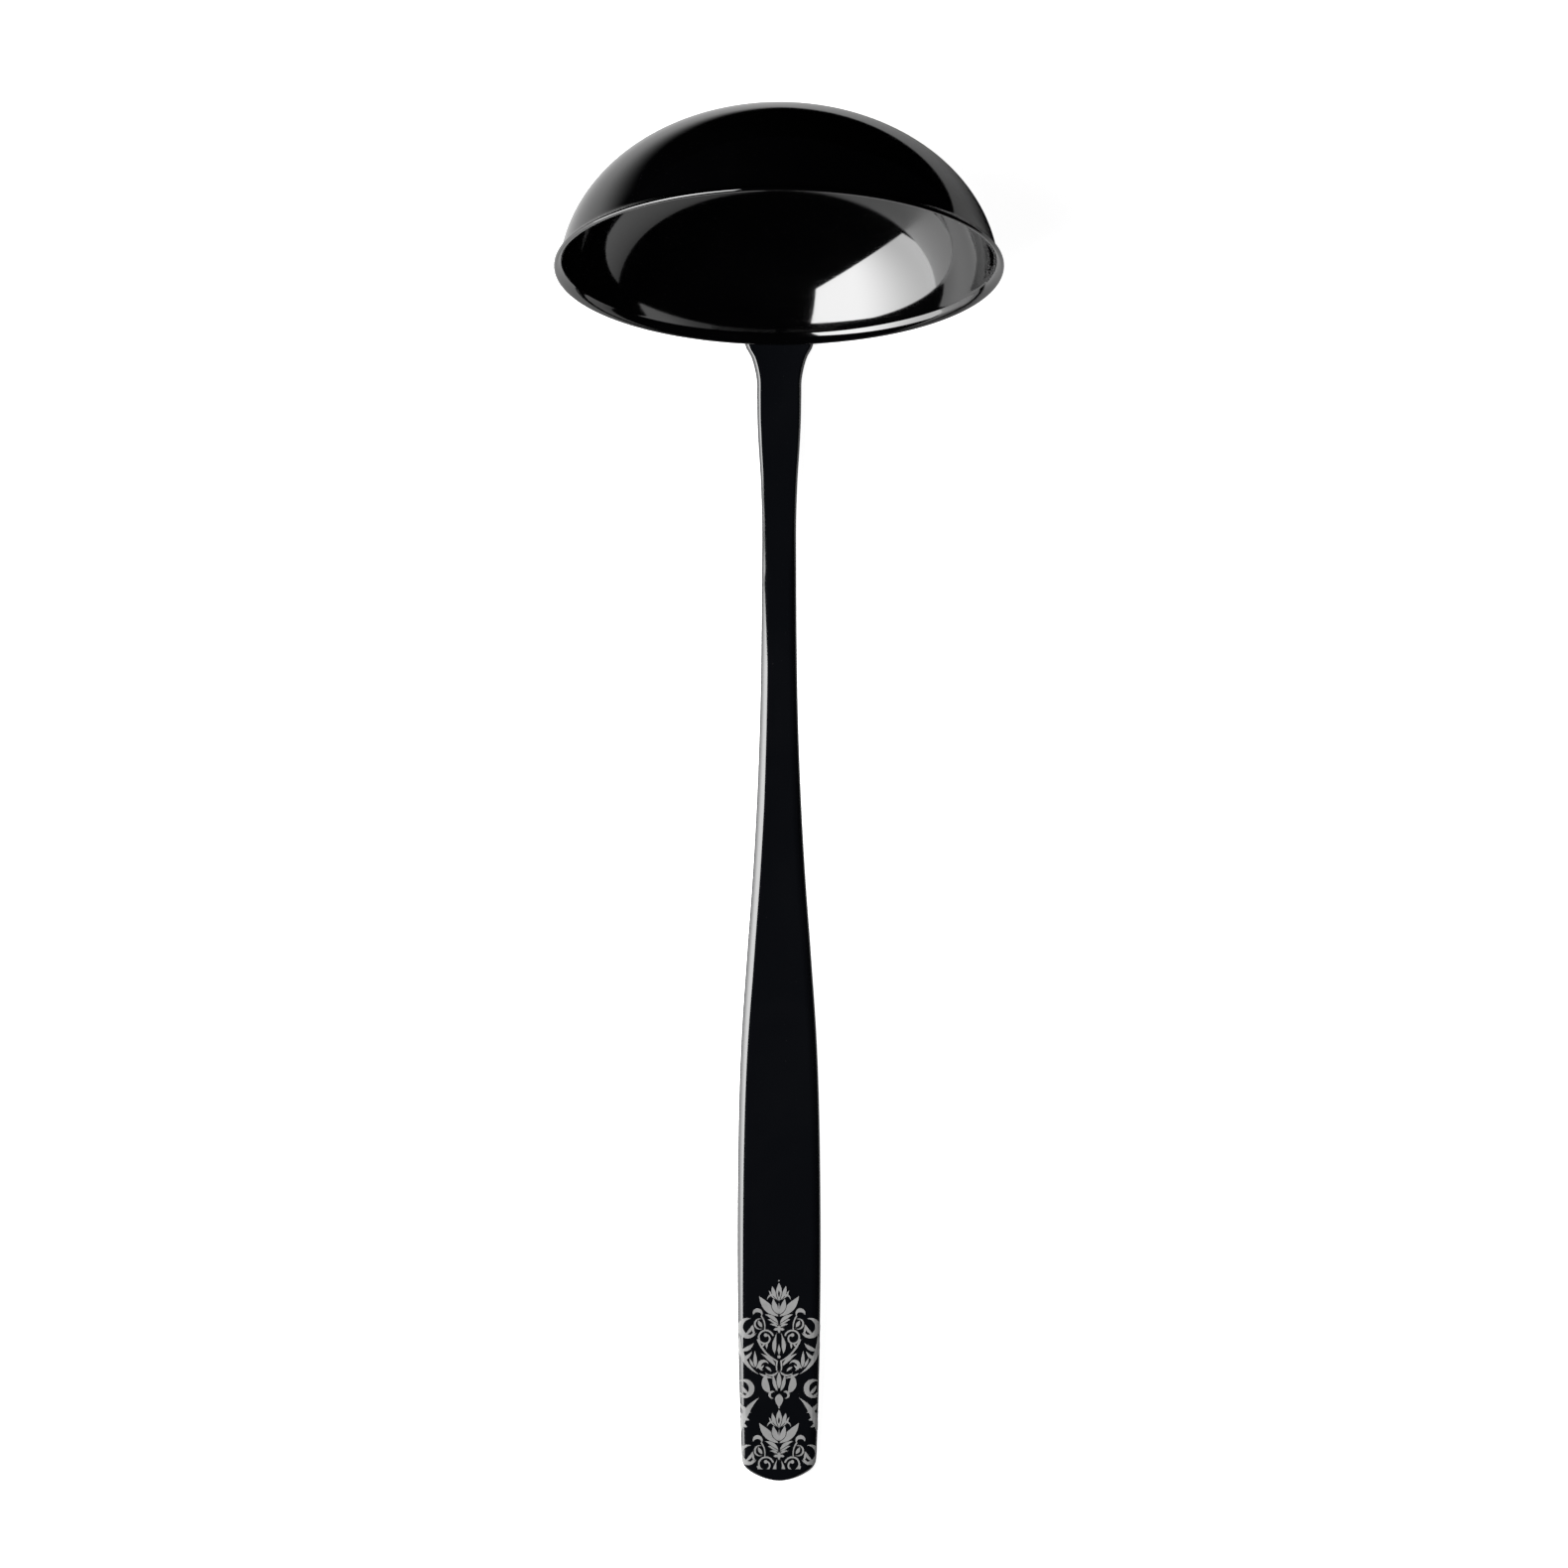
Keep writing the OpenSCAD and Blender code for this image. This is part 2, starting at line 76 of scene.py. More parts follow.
SETTLE = 8.0             # depth at which the foot first lies along the wall
HEEL_DROP = 3.461        # from the front face at the heel down to the back's lowest point
CURL_L = 18.0            # length over which the strip bends across before the heel
TIP_BLEND = 14           # how tight the corner is between the round tip and the long edges
FOOT_BLEND = 8           # and between the foot's round end and its sides
FOOT_ROUNDING = 1.3      # how much shorter the foot's rounded end is than the tip's
EDGE_STEPS = 12
FACE_STEPS = 10
CREASE = 0.04            # from the last point of the flat face to its edge
LEAST_SIDE = 0.01        # half of what the rounded edges leave flat along the side
LEAST_END = 0.05         # and at the ends
LEAST_R = 1e-4           # keeps roots and divisions clear of zero

# Rings along the handle
TIP_SPAN = 1.4           # here they crowd toward the tip
TIP_RINGS = 25
ROUND_SPAN = 14.0        # the rest of the round tip
ROUND_STEP = 0.45
LONG_STEP = 1.4
HEEL_SPAN = 22.0         # the bend before the heel
HEEL_STEP = 0.4
HEEL_CLEAR = 0.45        # the last ring's distance before the heel
FOOT_RINGS = 50
FOOT_FIRST = 0.1         # share of a step from the heel to the foot's first ring
FOOT_CROWD = 1.6         # above 1, the rings crowd toward the foot's end
FOOT_CLEAR = 0.03        # the last ring's distance before that end

# Bead of braze round the foot
BEAD_FROM = 6.0          # depth behind the rim at which it starts
BEAD_SWELL = 3.0         # depth over which it then fills out
BEAD_THIN = 0.12         # how full it is where it starts
BEAD_REACH = 0.5
BEAD_RISE = 0.8
BEAD_HOLLOW = 2.1        # above 1, its face is hollow
BEAD_ROOT = 0.14         # how far it starts inside the foot's edge
BEAD_SINK = 0.02         # how far its thin edge goes into the wall
BEAD_UNDER = 0.6         # how far it reaches in from the foot's edge
BEAD_RIPPLES = ((0.07, 2.3, 0), (0.05, 5.1, 1), (0.03, 9.7, 0))  # share, radians per mm, phase
BEAD_STATIONS = 70
BEAD_STEPS = 9

# Studio, in metres
FLOOR_REACH = 6.0
FLOOR_Z = -0.0002        # clear of the ladle and of the sheet
FLOOR_GLOW = 0.97
SHEET_Z = -0.0001
SHEET_LOW = (-1.2, -0.75)
SHEET_HIGH = (0.17, 0.5)
SHEET_EDGE = 0.19        # where the lit sheet ends beyond the bowl
SHEET_FADE = 0.5         # how fast that edge softens to the left
SHEET_CRISP = 0.004      # its width where it is sharpest
CAMERA_PLACE = (0.0011, 0.0041, 1.739)
CAMERA_LENS = 180
CAMERA_SENSOR = 36
DARK_ROOM = (0.002, 0.002, 0.0025, 1)
WHITE_ROOM = (1, 1, 1, 1)


# ---------- curves ----------

def hermite(a, b, slope_a, slope_b, h, u):
    """Cubic from a to b over a span h, with its end slopes."""
    near = 2 * u ** 3 - 3 * u ** 2 + 1
    start = u ** 3 - 2 * u ** 2 + u
    end = u ** 3 - u ** 2
    return a * near + b * (1 - near) + h * (slope_a * start + slope_b * end)


def row_slope(rows, i):
    """Slope at one row, from its neighbours."""
    before = rows[max(i - 1, 0)]
    after = rows[min(i + 1, len(rows) - 1)]
    return (after[1] - before[1]) / (after[0] - before[0])


def smooth(rows, x):
    """Cubic through rows of (x, value), with slopes from the neighbouring rows."""
    i = 0
    while i < len(rows) - 2 and rows[i + 1][0] <= x:
        i += 1
    h = rows[i + 1][0] - rows[i][0]
    u = (x - rows[i][0]) / h
    return hermite(rows[i][1], rows[i + 1][1], row_slope(rows, i), row_slope(rows, i + 1), h, u)


def ease(u):
    """From 0 to 1 as u does, level at both ends."""
    return u * u * (3 - 2 * u)


def soft_min(a, b, power):
    """The smaller of two lengths, with the corner between them rounded."""
    return (a ** -power + b ** -power) ** (-1 / power)


def spread(start, stop, step):
    """Even values from start up to just before stop, no farther apart than step."""
    count = max(1, math.ceil((stop - start) / step))
    return [start + (stop - start) * i / count for i in range(count)]


# ---------- bowl ----------
# The bowl's own frame has its origin in the middle of the rim, depth along its axis into the bowl
# and radius across. Its foot side faces down and toward the handle.

SHEET_C = BOWL_C - WALL / 2


def bowl_r(depth):
    """Outer radius of the wall at a depth behind the rim, without the flare."""
    return BOWL_A * (1 - ((depth + RIM_LEAD) / BOWL_C) ** BOWL_FULL) ** (1 / BOWL_FULL)


def sheet_r(u):
    """Radius of the sheet's middle by the profile's angle, without the flare."""
    return (BOWL_A - WALL / 2) * max(math.cos(u), 0) ** (2 / BOWL_FULL)


def flare_share(depth):
    """How much of the lip's flare is left at a depth behind the rim."""
    return max(0, 1 - depth / FLARE_H) ** 3


LIP_U = math.asin(((RIM_LEAD + WALL / 2) / SHEET_C) ** (BOWL_FULL / 2))
FLARE = (LIP_D / 2 - WALL / 2 - sheet_r(LIP_U)) / flare_share(WALL / 2)


def sheet(u):
    """Middle of the sheet as (radius, depth) by the profile's angle."""
    depth = SHEET_C * math.sin(u) ** (2 / BOWL_FULL) - RIM_LEAD
    return Vector((sheet_r(u) + FLARE * flare_share(depth), depth))


def sheet_normal(u):
    """Outward unit normal of the sheet."""
    if u >= math.pi / 2:
        return Vector((0, 1))
    step = 0.002
    d = sheet(u + step) - sheet(u - step)
    return Vector((d.y, -d.x)).normalized()


def bowl_profile():
    """The wall's outline from the outside of the pole round the lip to the inside of the pole."""
    angles = []
    for i in range(BOWL_STEPS + 1):
        share = i / BOWL_STEPS
        angles.append(LIP_U + (math.pi / 2 - LIP_U) * share ** BOWL_CROWD)
    normals = [sheet_normal(u) for u in angles]
    middles = [sheet(u) for u in angles]
    middles[-1] = Vector((0, SHEET_C - RIM_LEAD))
    outer = [m + n * WALL / 2 for m, n in zip(middles, normals)]
    inner = [m - n * WALL / 2 for m, n in zip(middles, normals)]
    lip = []
    along = Vector((-normals[0].y, normals[0].x))
    for i in range(1, LIP_STEPS):
        a = math.pi * i / LIP_STEPS
        lip.append(middles[0] + (normals[0] * math.cos(a) - along * math.sin(a)) * WALL / 2)
    return outer[::-1] + lip + inner


class Place:
    """Where the bowl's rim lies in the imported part's frame."""

    def __init__(self, profile):
        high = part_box("bowl")[1] / MM
        reach = max(p.y * math.cos(LEAN) + p.x * math.sin(LEAN) for p in profile)
        top = max(p.x * math.cos(LEAN) - p.y * math.sin(LEAN) for p in profile)
        self.rim_y = high.y - reach
        self.rim_z = high.z - top

    def in_bowl(self, radius, depth, angle):
        """A point by radius, depth and angle round the axis, where angle 0 faces the foot."""
        down = radius * math.cos(angle)
        y = self.rim_y + depth * math.cos(LEAN) - down * math.sin(LEAN)
        z = self.rim_z - depth * math.sin(LEAN) - down * math.cos(LEAN)
        return Vector((radius * math.sin(angle), y, z))


# ---------- handle ----------

def foot_r(depth):
    """Radius of the foot's inner face about the bowl's axis."""
    over = LIP_D / 2 - bowl_r(0)
    return bowl_r(depth) + JOINT_GAP + over * max(0, 1 - depth / SETTLE) ** 2


class Strip:
    """Side view, width and thickness of the handle, by distance t from its tip."""

    def __init__(self, place):
        self.place = place
        self.heel = place.in_bowl(foot_r(0), 0, 0)
        self.heel_at = self.heel.y - TIP_Y
        step = 0.5
        turn = math.atan((foot_r(0) - foot_r(step)) / step)
        self.heel_slope = math.tan(turn - LEAN)
        table = self.heel.z - HEEL_DROP
        self.end_z = table + END_T
        self.flat_z = self.end_z + FLAT_L * END_SLOPE
        self.top_z = table + ARCH_H
        end, neck = END_W / 2, NECK_W / 2
        # (distance from the tip, half width)
        self.side_rows = [
            (-10, end - 1.3), (0, end - 1.1), (12, end - 0.65), (30, end - 0.2), (54, end),
            (80, end - 0.28), (98, end - 0.9), (116, end - 2.1), (134, neck + 2), (151, neck + 1.05),
            (169, neck + 0.4), (187, neck + 0.1), (204, neck), (213, neck), (222, neck + 0.3),
            (229, neck + 0.75), (235, neck + 1.03), (self.heel_at - 11, neck + 1.06),
            (self.heel_at - 7, neck + 1.12), (self.heel_at - 2.7, HEEL_W / 2 - 1.4),
            (self.heel_at, HEEL_W / 2), (self.heel_at + 6, FOOT_W / 2 - 1.4),
            (self.heel_at + 12, FOOT_W / 2), (self.heel_at + 30, FOOT_W / 2 - 3),
        ]
        # (distance from the tip, thickness)
        self.thick_rows = [
            (0, END_T), (FLAT_L, END_T), (FLAT_L + 8, END_T + 0.01), (150, NECK_T - 0.4),
            (200, NECK_T), (235, NECK_T - 0.4), (251, HEEL_T), (262, FOOT_T + 0.5), (280, FOOT_T),
        ]

    def front_z(self, t):
        """Height of the front face: a straight end, then two curves that meet on top of the arch."""
        y = TIP_Y + t
        start = TIP_Y + FLAT_L
        if t <= FLAT_L:
            return self.end_z + t * END_SLOPE
        if y <= ARCH_Y:
            span = ARCH_Y - start
            return hermite(self.flat_z, self.top_z, END_SLOPE, 0, span, (y - start) / span)
        span = self.heel.y - ARCH_Y
        return hermite(self.top_z, self.heel.z, 0, self.heel_slope, span, (y - ARCH_Y) / span)

    def half_width(self, t):
        """Half the strip's width, with the round tip."""
        side = smooth(self.side_rows, t)
        if t >= TIP_R:
            return side
        return soft_min(math.sqrt(max(t * (2 * TIP_R - t), LEAST_R)), side, TIP_BLEND)

    def foot_half(self, depth):
        """Half the foot's width along the wall, with its round end."""
        side = smooth(self.side_rows, self.heel_at + depth)
        left, end_r = FOOT_L - depth, FOOT_W / 2
        if left >= end_r:
            return side
        return soft_min(math.sqrt(max(left * (2 * end_r - left), LEAST_R)), side, FOOT_BLEND)

    def thickness(self, t):
        return smooth(self.thick_rows, t)

    def normal(self, t):
        """Direction from the front face down through the metal, in side view."""
        step = 0.2
        dz = (self.front_z(t + step) - self.front_z(t - step)) / (2 * step)
        if t + step > self.heel_at:
            dz = self.heel_slope
        return Vector((dz, -1)).normalized()


def round_end(left, full):
    """Thickness at a distance from the end of the metal, where its edge is rounded."""
    if left >= EDGE_W:
        return full
    r = min(EDGE_R, full / 2 - LEAST_END)
    return full - 2 * r + 2 * r / EDGE_W * math.sqrt(left * (2 * EDGE_W - left))


def front_half(w, t, edge_w):
    """The front of a section as (across, down), from its middle to its widest point."""
    edge = min(edge_w, w * EDGE_SHARE)
    r = min(EDGE_R, t / 2 - LEAST_SIDE)
    flat = w - edge
    points = [(flat * i / FACE_STEPS, 0) for i in range(FACE_STEPS)]
    points.append((flat - min(CREASE, flat / FACE_STEPS / 2), 0))
    for i in range(EDGE_STEPS + 1):
        a = math.pi / 2 * i / EDGE_STEPS
        points.append((flat + edge * math.sin(a), r - r * math.cos(a)))
    return points


def section(w, t, edge_w):
    """The whole outline: the front from left to right, then the back from right to left."""
    half = front_half(w, t, edge_w)
    front = [(-x, d) for x, d in reversed(half[1:])] + half
    return front + [(x, t - d) for x, d in reversed(front)]


def strip_ring(strip, t):
    """The section at a distance from the tip, bent across as it nears the heel."""
    w = strip.half_width(t)
    thick = round_end(t, strip.thickness(t))
    n = strip.normal(t)
    crisp = min(1, max(0, (CRISP_FROM - strip.heel_at + t) / (CRISP_FROM - CRISP_AT)))
    edge_w = EDGE_W + (HEEL_EDGE - EDGE_W) * ease(crisp)
    near = max(0, 1 - (strip.heel_at - t) / CURL_L)
    bend = ease(near) / foot_r(0)
    ring = []
    for across, down in section(w, thick, edge_w):
        x, v = across, down
        if bend > LEAST_R:
            r = 1 / bend + down
            x, v = r * math.sin(across * bend), r * math.cos(across * bend) - 1 / bend
        ring.append(Vector((x, TIP_Y + t + n.x * v, strip.front_z(t) + n.y * v)))
    return ring


def foot_ring(strip, depth):
    """The foot's section at a depth behind the rim, wrapped round the bowl."""
    r = foot_r(depth)
    step = 0.2
    tilt = math.atan((r - foot_r(depth + step)) / step)
    thick = round_end((FOOT_L - depth) * FOOT_ROUNDING, strip.thickness(strip.heel_at + depth))
    ring = []
    for across, down in section(strip.foot_half(depth), thick, HEEL_EDGE):
        reach = r + down * math.cos(tilt)
        ring.append(strip.place.in_bowl(reach, depth + down * math.sin(tilt), across / r))
    return ring


def handle_rings(strip):
    bend_at, last_at = strip.heel_at - HEEL_SPAN, strip.heel_at - HEEL_CLEAR
    ts = [TIP_SPAN * (i / TIP_RINGS) ** 2 for i in range(1, TIP_RINGS)]
    ts += spread(TIP_SPAN, ROUND_SPAN, ROUND_STEP)
    ts += spread(ROUND_SPAN, bend_at, LONG_STEP)
    ts += spread(bend_at, last_at, HEEL_STEP)
    ts.append(last_at)
    shares = [1 - (i + FOOT_FIRST) / FOOT_RINGS for i in range(FOOT_RINGS)]
    depths = [FOOT_L * (1 - share ** FOOT_CROWD) for share in shares]
    depths.append(FOOT_L - FOOT_CLEAR)
    return [strip_ring(strip, t) for t in ts] + [foot_ring(strip, d) for d in depths]


# ---------- bead ----------

def bead_line(strip):
    """The foot's outline from its left side round its end, as (arc, depth), and how full the bead is."""
    turns = [math.pi / 2 * i / BEAD_STATIONS for i in range(BEAD_STATIONS)]
    depths = [BEAD_FROM + (FOOT_L - BEAD_FROM) * math.sin(turn) for turn in turns]
    right = [Vector((strip.foot_half(d), d)) for d in depths]
    left = [Vector((-p.x, p.y)) for p in right]
    line = left + [Vector((0, FOOT_L))] + right[::-1]
    full = []
    for p in line:
        full.append(BEAD_THIN + (1 - BEAD_THIN) * ease(min(1, (p.y - BEAD_FROM) / BEAD_SWELL)))
    return line, full


def bead_rings(strip):
    """Sections of the bead along that line: its hollow face, then its hidden underside."""
    line, full = bead_line(strip)
    rings = []
    run = 0.0
    for i, p in enumerate(line):
        ahead = line[min(i + 1, len(line) - 1)]
        behind = line[max(i - 1, 0)]
        run += (p - behind).length
        d = (ahead - behind).normalized()
        out = Vector((-d.y, d.x))
        ripple = 1 + sum(share * math.sin(run * rate + phase) for share, rate, phase in BEAD_RIPPLES)
        rise = BEAD_RISE * full[i]
        ring = []
        for j in range(BEAD_STEPS + 1):
            u = j / BEAD_STEPS
            w = -BEAD_ROOT + (BEAD_ROOT + BEAD_REACH * full[i] * ripple) * u
            ring.append(on_wall(strip, p + out * w, rise * (1 - u) ** BEAD_HOLLOW * ripple - BEAD_SINK))
        ring.append(on_wall(strip, p + out * BEAD_REACH / 2, -0.25))
        ring.append(on_wall(strip, p - out * BEAD_UNDER, -0.1))
        ring.append(on_wall(strip, p - out * BEAD_UNDER, rise * 0.6))
        rings.append(ring)
    return rings


def on_wall(strip, spot, height):
    """A point over the bowl's wall, by its (arc, depth) and its height above the wall."""
    depth = spot.y
    r = bowl_r(depth)
    step = 0.1
    tilt = math.atan((bowl_r(depth - step) - bowl_r(depth + step)) / (2 * step))
    reach = r + height * math.cos(tilt)
    return strip.place.in_bowl(reach, depth + height * math.sin(tilt), spot.x / foot_r(depth))


# ---------- meshes ----------

def make_piece(name, points, faces, uvs, node, material):
    """A smooth mesh from millimetre points that rides on the one body and stands for a CAD node."""
    mesh = bpy.data.meshes.new(name)
    mesh.from_pydata([p * MM for p in points], [], faces)
    layer = mesh.uv_layers.new(name="run")
    for loop in mesh.loops:
        layer.data[loop.index].uv = uvs[loop.vertex_index]
    mesh.polygons.foreach_set("use_smooth", [True] * len(mesh.polygons))
    mesh.materials.append(material)
    mesh.update()
    mesh.validate()
    piece = bpy.data.objects.new(name, mesh)
    bpy.context.scene.collection.objects.link(piece)
    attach(piece, "root")
    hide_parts(node)


def loft(rings, across):
    """Points, faces and run coordinates of a closed solid through rings of equal length."""
    n = len(rings[0])
    points = [p for ring in rings for p in ring]
    faces = []
    for i in range(len(rings) - 1):
        for j in range(n):
            k = (j + 1) % n
            faces.append((i * n + j, i * n + k, (i + 1) * n + k, (i + 1) * n + j))
    faces.append(tuple(reversed(range(n))))
    faces.append(tuple(range((len(rings) - 1) * n, len(rings) * n)))
    uvs = []
    run = 0.0
    for i, ring in enumerate(rings):
        run += (ring[0] - rings[max(i - 1, 0)][0]).length
        uvs += [(run * MM, across(p) * MM) for p in ring]
    return points, faces, uvs


def revolve(profile, place):
    """Points, faces and run coordinates of the bowl."""
    points = [place.in_bowl(0, profile[0].y, 0)]
    uvs = [(0.0, 0.0)]
    run = 0.0
    for i in range(1, len(profile) - 1):
        run += (profile[i] - profile[i - 1]).length
        for k in range(BOWL_SPOKES):
            a = 2 * math.pi * k / BOWL_SPOKES
            points.append(place.in_bowl(profile[i].x, profile[i].y, a))
            uvs.append((profile[i].x * abs(a - math.pi) * MM, run * MM))
    points.append(place.in_bowl(0, profile[-1].y, 0))
    uvs.append((0.0, (run + 1) * MM))
    last = len(points) - 1
    faces = []
    for k in range(BOWL_SPOKES):
        k2 = (k + 1) % BOWL_SPOKES
        faces.append((0, 1 + k, 1 + k2))
        for i in range(len(profile) - 3):
            a, b = 1 + i * BOWL_SPOKES, 1 + (i + 1) * BOWL_SPOKES
            faces.append((a + k, b + k, b + k2, a + k2))
        a = 1 + (len(profile) - 3) * BOWL_SPOKES
        faces.append((a + k, last, a + k2))
    return points, faces, uvs


def faces_outward(points, faces):
    """The faces, turned if they enclose a negative volume."""
    volume = 0.0
    for face in faces:
        a = points[face[0]]
        for j in range(1, len(face) - 1):
            volume += a.dot(points[face[j]].cross(points[face[j + 1]]))
    return faces if volume > 0 else [tuple(reversed(f)) for f in faces]


# ---------- materials ----------

class Graph:
    """Short calls for building one material's node tree."""

    def __init__(self, name):
        self.material = bpy.data.materials.new(name)
        self.material.use_nodes = True
        self.nodes = self.material.node_tree.nodes
        self.links = self.material.node_tree.links
        self.shader = self.nodes["Principled BSDF"]

    def put(self, socket, value):
        """Link a socket to another node's output, or set it to a plain value."""
        if isinstance(value, bpy.types.NodeSocket):
            self.links.new(value, socket)
        else:
            socket.default_value = value

    def coords(self, kind="Object", scale=(1, 1, 1), turn=(0, 0, 0)):
        source = self.nodes.new("ShaderNodeTexCoord")
        mapping = self.nodes.new("ShaderNodeMapping")
        self.links.new(source.outputs[kind], mapping.inputs["Vector"])
        mapping.inputs["Scale"].default_value = scale
        mapping.inputs["Rotation"].default_value = turn
        return mapping.outputs["Vector"]

    def noise(self, vector, scale, detail=2.0, rough=0.5, distort=0.0):
        node = self.nodes.new("ShaderNodeTexNoise")
        self.put(node.inputs["Vector"], vector)
        node.inputs["Scale"].default_value = scale
        node.inputs["Detail"].default_value = detail
        node.inputs["Roughness"].default_value = rough
        node.inputs["Distortion"].default_value = distort
        return node.outputs["Fac"]

    def cells(self, vector, scale):
        node = self.nodes.new("ShaderNodeTexVoronoi")
        self.put(node.inputs["Vector"], vector)
        node.inputs["Scale"].default_value = scale
        return node.outputs["Distance"]

    def span(self, value, low, high, start=0.0, stop=1.0):
        """Value from low..high to start..stop, clamped and eased."""
        node = self.nodes.new("ShaderNodeMapRange")
        node.interpolation_type = "SMOOTHSTEP"
        self.put(node.inputs["Value"], value)
        node.inputs["From Min"].default_value = low
        node.inputs["From Max"].default_value = high
        node.inputs["To Min"].default_value = start
        node.inputs["To Max"].default_value = stop
        return node.outputs["Result"]

    def math(self, kind, a, b):
        node = self.nodes.new("ShaderNodeMath")
        node.operation = kind
        self.put(node.inputs[0], a)
        self.put(node.inputs[1], b)
        return node.outputs["Value"]

    def blend(self, share, a, b):
        node = self.nodes.new("ShaderNodeMix")
        node.data_type = "RGBA"
        self.put(node.inputs["Factor"], share)
        self.put(node.inputs["A"], a)
        self.put(node.inputs["B"], b)
        return node.outputs["Result"]

    def axis(self, vector, name):
        node = self.nodes.new("ShaderNodeSeparateXYZ")
        self.links.new(vector, node.inputs["Vector"])
        return node.outputs[name]

    def bump(self, height, distance, under=None):
        """Relief of a depth in metres, over another bump where one is given."""
        node = self.nodes.new("ShaderNodeBump")
        self.put(node.inputs["Height"], height)
        node.inputs["Distance"].default_value = distance
        node.inputs["Strength"].default_value = 1.0
        if under is not None:
            self.links.new(under, node.inputs["Normal"])
        return node.outputs["Normal"]

    def finish(self, colour, roughness, normal, **fixed):
        """Set the shader; an underscore in a fixed input's name stands for a space."""
        self.put(self.shader.inputs["Base Color"], colour)
        self.put(self.shader.inputs["Roughness"], roughness)
        self.put(self.shader.inputs["Normal"], normal)
        for name, value in fixed.items():
            self.shader.inputs[name.replace("_", " ")].default_value = value
        return self.material


def streaks(g, turn, along, across, low, high):
    """Thin scratches: noise that is stretched along one direction and cut off high."""
    vector = g.coords("UV", scale=(along, across, 1), turn=(0, 0, turn))
    return g.span(g.noise(vector, scale=1.0, detail=1.0, rough=0.4), low, high)


def gloss_coat(name, low, high, ior):
    """Deep black gloss coat with faint orange peel, hairline scratches and wiping haze."""
    g = Graph(name)
    spot = g.coords("Object")
    haze = g.span(g.noise(spot, scale=55, detail=3.0, rough=0.55, distort=0.4), 0.42, 0.72)
    wiping = g.coords("UV", scale=(60, 700, 1), turn=(0, 0, 0.12))
    smear = g.span(g.noise(wiping, scale=1.0), 0.5, 0.75)
    fine = streaks(g, turn=0.05, along=90, across=9000, low=0.7, high=0.76)
    crossed = streaks(g, turn=0.9, along=70, across=7000, low=0.73, high=0.79)
    steep = streaks(g, turn=-0.6, along=110, across=8000, low=0.74, high=0.8)
    scratches = g.math("MAXIMUM", fine, g.math("MAXIMUM", crossed, steep))
    dust = g.span(g.cells(spot, 420), 0.035, 0.015)
    wiped = g.math("MULTIPLY", g.math("ADD", haze, smear), 0.02)
    roughness = g.math("ADD", wiped, g.math("MULTIPLY", scratches, 0.05))
    roughness = g.math("ADD", roughness, g.math("MULTIPLY", dust, 0.25))
    roughness = g.math("ADD", roughness, 0.05)
    tone = g.blend(g.math("MULTIPLY", haze, 0.6), (*low, 1), (*high, 1))
    colour = g.blend(g.math("MULTIPLY", dust, 0.35), tone, (0.02, 0.02, 0.021, 1))
    peel = g.bump(g.noise(spot, scale=620, rough=0.45), 0.5e-6)
    wavy = g.bump(g.noise(spot, scale=90, detail=1.0, rough=0.4), 2.5e-6, under=peel)
    marked = g.bump(g.math("SUBTRACT", 1.0, scratches), 0.2e-6, under=wavy)
    return g.finish(colour, roughness, marked, IOR=ior)


def bead_coat():
    """The same black over braze: duller, lumpier, and greyer where it pooled."""
    g = Graph("black_over_braze")
    spot = g.coords("Object")
    lumps = g.noise(spot, scale=420, detail=4.0, rough=0.6, distort=0.3)
    pits = g.span(g.cells(spot, 1500), 0.22, 0.05)
    colour = g.blend(g.span(lumps, 0.4, 0.7), (0.004, 0.004, 0.005, 1), (0.014, 0.0125, 0.011, 1))
    roughness = g.math("ADD", g.span(lumps, 0.35, 0.7, 0.16, 0.36), g.math("MULTIPLY", pits, 0.2))
    rough = g.bump(lumps, 120e-6)
    pitted = g.bump(g.math("SUBTRACT", 1.0, pits), 30e-6, under=rough)
    return g.finish(colour, roughness, pitted, IOR=1.55)


def print_ink():
    """Matte silver-grey ink with a fine screen grain, thin places and pinholes."""
    g = Graph("silver_grey_ink")
    spot = g.coords("Object")
    grain = g.noise(spot, scale=5200, detail=3.0, rough=0.6)
    cloud = g.noise(spot, scale=260, detail=3.0)
    holes = g.span(g.cells(spot, 2100), 0.11, 0.05)
    base = g.blend(g.span(cloud, 0.3, 0.7), (0.195, 0.195, 0.193, 1), (0.232, 0.231, 0.23, 1))
    grained = g.blend(g.span(grain, 0.35, 0.7, 0, 0.35), base, (0.28, 0.28, 0.28, 1))
    colour = g.blend(g.math("MULTIPLY", holes, 0.55), grained, (0.03, 0.03, 0.031, 1))
    roughness = g.span(grain, 0.3, 0.7, 0.52, 0.7)
    rough = g.bump(grain, 12e-6)
    holed = g.bump(g.math("SUBTRACT", 1.0, holes), 10e-6, under=rough)
    return g.finish(colour, roughness, holed, IOR=1.45, Specular_IOR_Level=0.25)


# ---------- studio ----------

def plane(name, low, high, z, material):
    """A level rectangle for the studio."""
    corners = [(low[0], low[1], z), (high[0], low[1], z), (high[0], high[1], z), (low[0], high[1], z)]
    mesh = bpy.data.meshes.new(name)
    mesh.from_pydata(corners, [], [(0, 1, 2, 3)])
    mesh.materials.append(material)
    flat = bpy.data.objects.new(name, mesh)
    bpy.context.scene.collection.objects.link(flat)
    return flat


